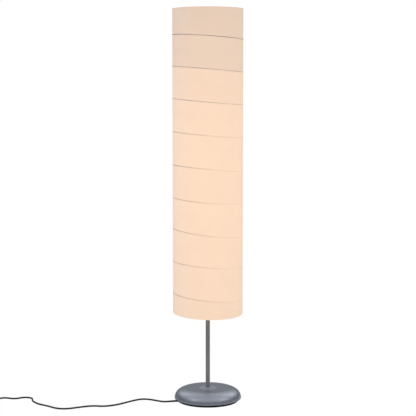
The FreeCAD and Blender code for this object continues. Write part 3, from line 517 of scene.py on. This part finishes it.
def paper_material(name, inside):
    m = Mat(name)
    m.set(Roughness=0.88, Specular_IOR_Level=0.18, Coat_Weight=1.0, Coat_IOR=1.05, Coat_Roughness=0.5, Coat_Tint=(0.955, 0.955, 0.955, 1.0))
    place = m.attribute("rest_place", "Vector")
    seam = m.attribute("seam_mm")
    band = m.attribute("band_at")
    xyz = m.xyz(place)
    # long paper fibres, and the cloudy look of thin paper held up to light
    fibre_v = m.mapped(place, (1.0, 1.0, 0.22), (0.0, 0.35, 0.0))
    fibre = m.noise(fibre_v, 620.0, 5.0, 0.62, 1.2)
    cloud = m.noise(place, 26.0, 4.0, 0.55, 0.4)
    spots = m.noise(place, 120.0, 3.0, 0.6)
    strands = m.wave(m.mapped(place, (1.0, 1.0, 1.0), (0.5, 0.3, 0.2)), 24.0, 26.0, 4.0, 1.6)
    strands = m.ranged(strands, 0.93, 1.0, 0.0, 1.0)
    mottle = m.math("ADD", m.math("MULTIPLY", m.math("SUBTRACT", cloud, 0.5), 0.10), m.math("MULTIPLY", m.math("SUBTRACT", fibre, 0.5), 0.07))
    mottle = m.math("ADD", mottle, m.math("MULTIPLY", m.math("SUBTRACT", spots, 0.5), 0.035))
    mottle = m.math("ADD", mottle, m.math("MULTIPLY", strands, -0.02))
    # how brightly each band glows, from the top one down
    levels = [0.715, 0.785, 0.94, 1.0, 1.02, 1.012, 1.02, 0.99, 0.968, 0.93]
    pts = []
    for i, g in enumerate(levels):
        lo = g - (0.012 if i else 0.02)
        pts += [(i / 10 + 0.0015, lo if i < 5 else g + 0.006), ((i + 1) / 10 - 0.0015, g + 0.012 if i < 5 else g - 0.006)]
    pts = [(0.0, pts[0][1])] + pts[1:-1] + [(1.0, pts[-1][1])]
    level = m.curve(m.math("MULTIPLY", band, 0.1), [(x, y * 0.9) for x, y in pts])
    level = m.math("MULTIPLY", level, 1.0 / 0.9)
    # painted shadow of the wire behind the paper, which holds back the light; it fades towards the right in the lower
    # bands. A thin painted highlight line runs above each wire and a fainter one below it
    side = m.ranged(xyz[0], -0.10, 0.09, 1.0, 0.0, True)       # 1 at the left, 0 at the right
    low = m.ranged(band, 2.2, 4.5, 0.0, 1.0, True)             # 0 in the upper bands, 1 lower down
    patchy = m.ranged(m.noise(place, 11.0, 2.0), 0.35, 0.65, 0.75, 1.15)
    wire_shadow_depth = m.math("ADD", 0.70, m.math("MULTIPLY", m.math("SUBTRACT", side, 1.0), m.math("MULTIPLY", low, 0.42)))
    wire_shadow_depth = m.math("MULTIPLY", m.math("SUBTRACT", wire_shadow_depth, m.math("MULTIPLY", low, 0.14)), patchy)
    first = m.ranged(band, 1.4, 1.6, 1.30, 1.0)                # the uppermost hoop shows most, at the left
    wire_shadow_depth = m.math("MULTIPLY", wire_shadow_depth, m.math("MULTIPLY", first, m.ranged(side, 0.0, 1.0, 0.86, 1.04)))
    wire = m.ranged(m.math("ABSOLUTE", seam), 0.7, 1.9, 1.0, 0.0, True)
    # painted highlight lines: the glow is raised a little just above each wire and less just below it
    above = m.math("MULTIPLY", m.ranged(seam, 1.6, 3.0, 0.0, 1.0, True), m.ranged(seam, 3.6, 6.5, 1.0, 0.0, True))
    below = m.math("MULTIPLY", m.ranged(seam, -7.0, -3.4, 0.0, 1.0, True), m.ranged(seam, -3.0, -1.6, 1.0, 0.0, True))
    shadow = m.math("SUBTRACT", 1.0, m.math("MULTIPLY", wire, wire_shadow_depth))
    glow = m.math("MULTIPLY", level, shadow)
    glow = m.math("MULTIPLY", glow, m.math("ADD", 1.0, mottle))
    glow = m.math("ADD", glow, m.math("MULTIPLY", above, 0.045))
    glow = m.math("ADD", glow, m.math("MULTIPLY", below, 0.022))
    # doubled paper where the sheet closes, at the back
    ang = m.math("ARCTAN2", xyz[0], xyz[1])
    lap = m.ranged(m.math("ABSOLUTE", ang), 0.034, 0.040, 1.0, 0.0)
    lap_edge = m.ranged(m.math("ABSOLUTE", m.math("SUBTRACT", m.math("ABSOLUTE", ang), 0.037)), 0.002, 0.006, 1.0, 0.0)
    glow = m.math("MULTIPLY", glow, m.math("SUBTRACT", 1.0, m.math("ADD", m.math("MULTIPLY", lap, 0.10), m.math("MULTIPLY", lap_edge, 0.08))))
    # folded hems at both rims
    hem_top = m.ranged(band, 0.0, 0.055, 1.0, 0.0)
    hem_top = m.math("GREATER_THAN", hem_top, 0.02)
    hem_low = m.math("GREATER_THAN", band, 9.86)
    glow = m.math("MULTIPLY", glow, m.math("SUBTRACT", 1.0, m.math("MULTIPLY", m.math("ADD", m.math("MULTIPLY", hem_top, 1.0), m.math("MULTIPLY", hem_low, 0.35)), 0.05)))
    strength = GLOW_IN if inside else GLOW_OUT
    # painted light: the glow is tinted by side, cooler at the left and a little cooler at the right
    tint = m.mix(m.ranged(xyz[0], -0.100, -0.030, 0.0, 1.0, True), GLOW_LEFT + (1.0,), GLOW + (1.0,))
    tint = m.mix(m.ranged(xyz[0], 0.045, 0.095, 0.0, 1.0, True), tint, GLOW_RIGHT + (1.0,))
    n = m.nt.nodes.new("ShaderNodeVectorMath")
    n.operation = "SCALE"
    m.link(tint, n.inputs[0])
    m.link(glow, n.inputs["Scale"])
    m.link(n.outputs[0], m.p.inputs["Emission Color"])
    m.p.inputs["Emission Strength"].default_value = strength
    # the paper itself, unlit: off-white, with the wires' painted shadow mixed in along them, deepest at the left
    tone = m.math("ADD", 0.5, m.math("MULTIPLY", mottle, 3.2))
    body = m.mix(tone, (0.78, 0.74, 0.70, 1), (0.86, 0.82, 0.78, 1))
    wire_shadow_tone = m.math("MULTIPLY", m.math("MULTIPLY", wire, wire_shadow_depth), 0.42)
    body = m.mix(wire_shadow_tone, body, (0.16, 0.14, 0.12, 1))
    m.link(body, m.p.inputs["Base Color"])
    m.link(m.ranged(fibre, 0.3, 0.7, 0.80, 0.94), m.p.inputs["Roughness"])
    rough_v = m.math("ADD", m.math("MULTIPLY", fibre, 1.0), m.math("MULTIPLY", spots, 0.8))
    fine = m.bump(rough_v, 0.35, 0.00025)
    crease = m.noise(m.mapped(place, (1.0, 1.0, 0.45)), 38.0, 3.0, 0.5, 0.8)
    m.link(m.bump(crease, 0.5, 0.0012, fine), m.p.inputs["Normal"])
    return m


# painted light: the inner face of the paper glows at 0.55 of the outer face's strength
GLOW_OUT, GLOW_IN = 1.0, 0.55
paper_out = paper_material("paper_outside", False)
paper_in = paper_material("paper_inside", True)
me.materials.append(paper_out.m)
me.materials.append(paper_in.m)
index = np.zeros(len(me.polygons), np.int32)
index[n_out_faces:n_out_faces + (len(inner_rows) - 1) * N_ANG] = 1
me.polygons.foreach_set("material_index", index)
me.update()
paper.visible_glossy = False  # keeps the warm glow out of the paint's reflections, as in the picture
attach(paper, "root")
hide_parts(*["paper_band_%d" % k for k in range(1, 11)])
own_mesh(paper)

# ---------------------------------------------------------------- finishes for the solids
def painted(name, dark, light, metallic, rough, grain=900.0, bump=0.12, smudge=0.05):
    m = Mat(name)
    m.set(Metallic=metallic, Specular_IOR_Level=0.5)
    v = m.coords()
    cloud = m.noise(v, 9.0, 4.0, 0.55, 0.3)
    peel = m.noise(v, grain, 2.0, 0.5)
    flake = m.noise(v, grain * 3.1, 1.0, 0.5)
    f = m.math("ADD", m.math("MULTIPLY", cloud, 0.6), m.math("MULTIPLY", flake, 0.4))
    m.link(m.mix(m.ranged(f, 0.35, 0.65, 0.0, 1.0), dark + (1.0,), light + (1.0,)), m.p.inputs["Base Color"])
    wipe = m.noise(m.mapped(v, (1.0, 1.0, 2.5)), 22.0, 5.0, 0.6, 1.0)
    r = m.math("ADD", rough, m.math("MULTIPLY", m.math("SUBTRACT", wipe, 0.5), smudge * 2))
    m.link(r, m.p.inputs["Roughness"])
    m.link(m.bump(peel, bump, 0.0003), m.p.inputs["Normal"])
    return m


def steel(name, dark, light, rough, stretch=(1.0, 1.0, 1.0), scale=900.0, bump=0.15, metallic=1.0):
    m = Mat(name)
    m.set(Metallic=metallic)
    v = m.coords()
    brush = m.noise(m.mapped(v, stretch), scale, 4.0, 0.6)
    tarnish = m.noise(v, 60.0, 4.0, 0.6, 0.6)
    m.link(m.mix(m.ranged(tarnish, 0.35, 0.65, 0.0, 1.0), dark + (1.0,), light + (1.0,)), m.p.inputs["Base Color"])
    m.link(m.ranged(m.math("ADD", m.math("MULTIPLY", brush, 0.6), m.math("MULTIPLY", tarnish, 0.4)), 0.3, 0.7, rough - 0.08, rough + 0.10), m.p.inputs["Roughness"])
    m.link(m.bump(brush, bump, 0.0002), m.p.inputs["Normal"])
    return m


def plastic(name, dark, light, rough, grain=2200.0, bump=0.2, spec=0.5, coat=0.0):
    m = Mat(name)
    m.set(Specular_IOR_Level=spec, Coat_Weight=coat)
    v = m.coords()
    leather = m.voronoi(v, grain)
    cloud = m.noise(v, 45.0, 3.0, 0.5)
    m.link(m.mix(m.ranged(cloud, 0.3, 0.7, 0.0, 1.0), dark + (1.0,), light + (1.0,)), m.p.inputs["Base Color"])
    m.link(m.ranged(m.noise(v, 300.0, 3.0, 0.6), 0.3, 0.7, rough - 0.05, rough + 0.07), m.p.inputs["Roughness"])
    m.link(m.bump(leather, bump, 0.00012), m.p.inputs["Normal"])
    return m


base_paint = painted("base_paint", (0.340, 0.370, 0.435), (0.390, 0.420, 0.485), 0.70, 0.36, 1100.0, 0.10, 0.03)
stem_paint = painted("stem_paint", (0.30, 0.30, 0.296), (0.36, 0.36, 0.354), 0.35, 0.38, 1300.0, 0.12, 0.03)
iron = painted("rough_iron", (0.030, 0.030, 0.031), (0.075, 0.072, 0.070), 0.6, 0.72, 260.0, 0.8, 0.10)
zinc = steel("zinc_plate", (0.46, 0.46, 0.44), (0.66, 0.66, 0.63), 0.34, (1, 1, 1), 700.0, 0.12)
wire = steel("drawn_wire", (0.40, 0.40, 0.39), (0.60, 0.60, 0.58), 0.32, (1, 1, 0.06), 1500.0, 0.15)
brass = steel("turned_brass", (0.62, 0.44, 0.17), (0.80, 0.60, 0.28), 0.26, (1, 1, 8.0), 900.0, 0.10)
alu = steel("spun_aluminium", (0.62, 0.62, 0.63), (0.78, 0.78, 0.79), 0.30, (1, 1, 10.0), 900.0, 0.12)
nickel = steel("nickel_pin", (0.66, 0.64, 0.59), (0.80, 0.78, 0.73), 0.18, (1, 1, 1), 500.0, 0.05)
black_rubber = plastic("black_rubber", (0.0055, 0.0055, 0.006), (0.012, 0.012, 0.012), 0.62, 1500.0, 0.35, 0.25)
holder_black = plastic("holder_phenolic", (0.016, 0.015, 0.015), (0.028, 0.027, 0.027), 0.34, 900.0, 0.05, 0.5)
switch_black = plastic("switch_shell", (0.013, 0.013, 0.014), (0.024, 0.024, 0.025), 0.40, 2400.0, 0.30, 0.45)
button_black = plastic("switch_key", (0.018, 0.018, 0.019), (0.030, 0.030, 0.031), 0.28, 1800.0, 0.15, 0.5)
plug_black = plastic("plug_shell", (0.012, 0.012, 0.013), (0.022, 0.022, 0.023), 0.44, 2000.0, 0.35, 0.4)
bulb_white = plastic("bulb_collar", (0.74, 0.74, 0.72), (0.82, 0.82, 0.80), 0.34, 1200.0, 0.05, 0.5)
ceramic = plastic("terminal_glaze", (0.72, 0.70, 0.65), (0.82, 0.80, 0.76), 0.16, 400.0, 0.08, 0.5, 0.4)
sheath_inner = plastic("inner_lead", (0.010, 0.010, 0.011), (0.018, 0.018, 0.019), 0.42, 2000.0, 0.15, 0.45)

opal = Mat("opal_globe")
opal.set(Roughness=0.30, Specular_IOR_Level=0.5)
v = opal.coords()
frost = opal.noise(v, 900.0, 3.0, 0.6)
opal.link(opal.mix(opal.ranged(opal.noise(v, 30.0, 3.0), 0.3, 0.7, 0.0, 1.0), (0.86, 0.84, 0.80, 1), (0.92, 0.90, 0.86, 1)), opal.p.inputs["Base Color"])
opal.link(opal.ranged(frost, 0.3, 0.7, 0.25, 0.38), opal.p.inputs["Roughness"])
opal.link(opal.bump(frost, 0.05, 0.0001), opal.p.inputs["Normal"])
opal.p.inputs["Emission Color"].default_value = (1.0, 0.88, 0.72, 1.0)
opal.p.inputs["Emission Strength"].default_value = 1.5

FINISH = {
    "base_cover": base_paint, "base_weight": iron, "foot_ring": black_rubber, "base_nipple": zinc, "base_washer": zinc, "base_nut": zinc,
    "stem_lower": stem_paint, "stem_upper": stem_paint, "stem_coupler": zinc, "holder_nipple": zinc, "internal_lead": sheath_inner,
    "cord_strain_relief": black_rubber, "harp_saddle": zinc, "holder_cap": holder_black, "holder_shell": holder_black, "terminal_block": ceramic,
    "screw_shell": alu, "centre_contact": brass, "bulb_cap": alu, "bulb_housing": bulb_white, "bulb_globe": opal,
    "harp_wire_left": wire, "harp_wire_right": wire, "harp_boss": zinc, "top_spider": wire, "finial_washer": zinc, "finial_nut": brass,
    "top_ring": wire, "bottom_ring": wire, "bottom_spider": wire, "spider_screw": zinc, "switch_base": switch_black,
    "switch_cover": switch_black, "switch_button": button_black, "switch_spring": zinc, "plug_body": plug_black, "plug_pins": nickel,
    "lead_to_switch": sheath_inner, "lead_to_coil": sheath_inner, "lead_coil": sheath_inner, "lead_to_plug": sheath_inner,
}
for k in range(1, 10):
    FINISH["rib_hoop_%d" % k] = wire
for k in range(1, 11):
    FINISH["paper_band_%d" % k] = paper_out
for name, o in NODES.items():
    give(o, FINISH[name])

# The return spring, which shortens as the button goes down, is copied here as a piece of its own with the node's shape.
node = NODES["switch_spring"]
place = node.matrix_world
spring = add_mesh("return_spring", [place @ v.co for v in node.data.vertices], [tuple(q.vertices) for q in node.data.polygons])
shade_smooth(spring, 60)
give(spring, zinc)
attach(spring, "root")
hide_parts("switch_spring")
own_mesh(spring)

# The cover is drawn up in a low flare round the stem.
flare = []
for k in range(15):
    t = k / 14
    r = 29.0 + (8.0 - 29.0) * t
    flare.append((r, 37.9 + 3.3 * smooth01(t)))
flare += [(7.5, 41.15), (7.05, 40.95), (6.72, 40.5), (6.62, 39.5)]
N_FLARE = 96
fv, ff = [], []
for r, z in flare:
    for j in range(N_FLARE):
        a = 2 * math.pi * j / N_FLARE
        fv.append((r * math.cos(a) * MM, r * math.sin(a) * MM, z * MM))
for i in range(len(flare) - 1):
    for j in range(N_FLARE):
        a, b = i * N_FLARE + j, i * N_FLARE + (j + 1) % N_FLARE
        ff.append((a, b, b + N_FLARE, a + N_FLARE))
ring = (len(flare) - 1) * N_FLARE
under = len(fv)
for r, z in ((6.62, 37.0), (29.0, 37.0)):
    for j in range(N_FLARE):
        a = 2 * math.pi * j / N_FLARE
        fv.append((r * math.cos(a) * MM, r * math.sin(a) * MM, z * MM))
for j in range(N_FLARE):
    k = (j + 1) % N_FLARE
    ff.append((ring + j, ring + k, under + k, under + j))
    ff.append((under + j, under + k, under + N_FLARE + k, under + N_FLARE + j))
    ff.append((under + N_FLARE + j, under + N_FLARE + k, k, j))
collar = add_mesh("stem_foot_flare", fv, ff)
shade_smooth(collar, 60)
# painted shade: the flare's paint is a touch darker than the cover's; it is also rougher and less metallic, which blurs
# its reflections beside the stem
give(collar, painted("flare_paint", (0.330, 0.360, 0.420), (0.380, 0.410, 0.470), 0.55, 0.64, 1100.0, 0.10, 0.03))
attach(collar, "root")

# ---------------------------------------------------------------- floor, light, background
floor = add_mesh("studio_floor", [(-30, -30, 0), (30, -30, 0), (30, 30, 0), (-30, 30, 0)], [(0, 1, 2, 3)])
fm = bpy.data.materials.new("studio_floor")
fm.use_nodes = True
nt = fm.node_tree
nt.nodes.clear()
out = nt.nodes.new("ShaderNodeOutputMaterial")
diffuse = nt.nodes.new("ShaderNodeBsdfDiffuse")
diffuse.inputs["Color"].default_value = (0.68, 0.68, 0.68, 1)
glow = nt.nodes.new("ShaderNodeEmission")
glow.inputs["Color"].default_value = (1, 1, 1, 1)
glow.inputs["Strength"].default_value = 1.0
path = nt.nodes.new("ShaderNodeLightPath")
pick = nt.nodes.new("ShaderNodeMixShader")
nt.links.new(path.outputs["Is Camera Ray"], pick.inputs[0])
nt.links.new(diffuse.outputs[0], pick.inputs[1])
nt.links.new(glow.outputs[0], pick.inputs[2])
nt.links.new(pick.outputs[0], out.inputs["Surface"])
floor.data.materials.append(fm)

world = bpy.data.worlds.new("studio")
scene.world = world
world.use_nodes = True
nt = world.node_tree
nt.nodes.clear()
out = nt.nodes.new("ShaderNodeOutputWorld")
seen = nt.nodes.new("ShaderNodeBackground")
seen.inputs["Color"].default_value = (1, 1, 1, 1)
seen.inputs["Strength"].default_value = 1.0
lit = nt.nodes.new("ShaderNodeBackground")
lit.inputs["Color"].default_value = (0.97, 0.98, 1.0, 1)
# a white tent: dim near the floor, brighter overhead
tent = nt.nodes.new("ShaderNodeTexCoord")
up = nt.nodes.new("ShaderNodeSeparateXYZ")
grade = nt.nodes.new("ShaderNodeMapRange")
grade.interpolation_type = "SMOOTHSTEP"
for key, x in (("From Min", 0.27), ("From Max", 0.67), ("To Min", 0.145), ("To Max", 0.80)):
    grade.inputs[key].default_value = x
nt.links.new(tent.outputs["Generated"], up.inputs[0])
nt.links.new(up.outputs[2], grade.inputs["Value"])
nt.links.new(grade.outputs["Result"], lit.inputs["Strength"])
path = nt.nodes.new("ShaderNodeLightPath")
pick = nt.nodes.new("ShaderNodeMixShader")
nt.links.new(path.outputs["Is Camera Ray"], pick.inputs[0])
nt.links.new(lit.outputs[0], pick.inputs[1])
nt.links.new(seen.outputs[0], pick.inputs[2])
nt.links.new(pick.outputs[0], out.inputs["Surface"])


def softbox(name, place, target, size_x, size_y, power, colour=(1, 1, 1)):
    data = bpy.data.lights.new(name, "AREA")
    data.shape = "RECTANGLE"
    data.size, data.size_y = size_x, size_y
    data.energy = power
    data.color = colour
    o = bpy.data.objects.new(name, data)
    scene.collection.objects.link(o)
    o.location = place
    o.rotation_euler = (Vector(target) - Vector(place)).to_track_quat("-Z", "Y").to_euler()
    return o


softbox("key_left", (-1.9, -1.3, 1.9), (0, 0, 0.10), 1.2, 1.2, 4.2)
softbox("key_right", (2.0, -0.9, 1.9), (0, 0, 0.10), 1.4, 1.2, 4.0)
softbox("rim_left", (-1.33, 1.59, 1.58), (0, 0, 0.03), 1.2, 1.2, 3.2)
softbox("rim_right", (1.36, 1.55, 1.62), (0, 0, 0.03), 1.2, 1.2, 4.3)
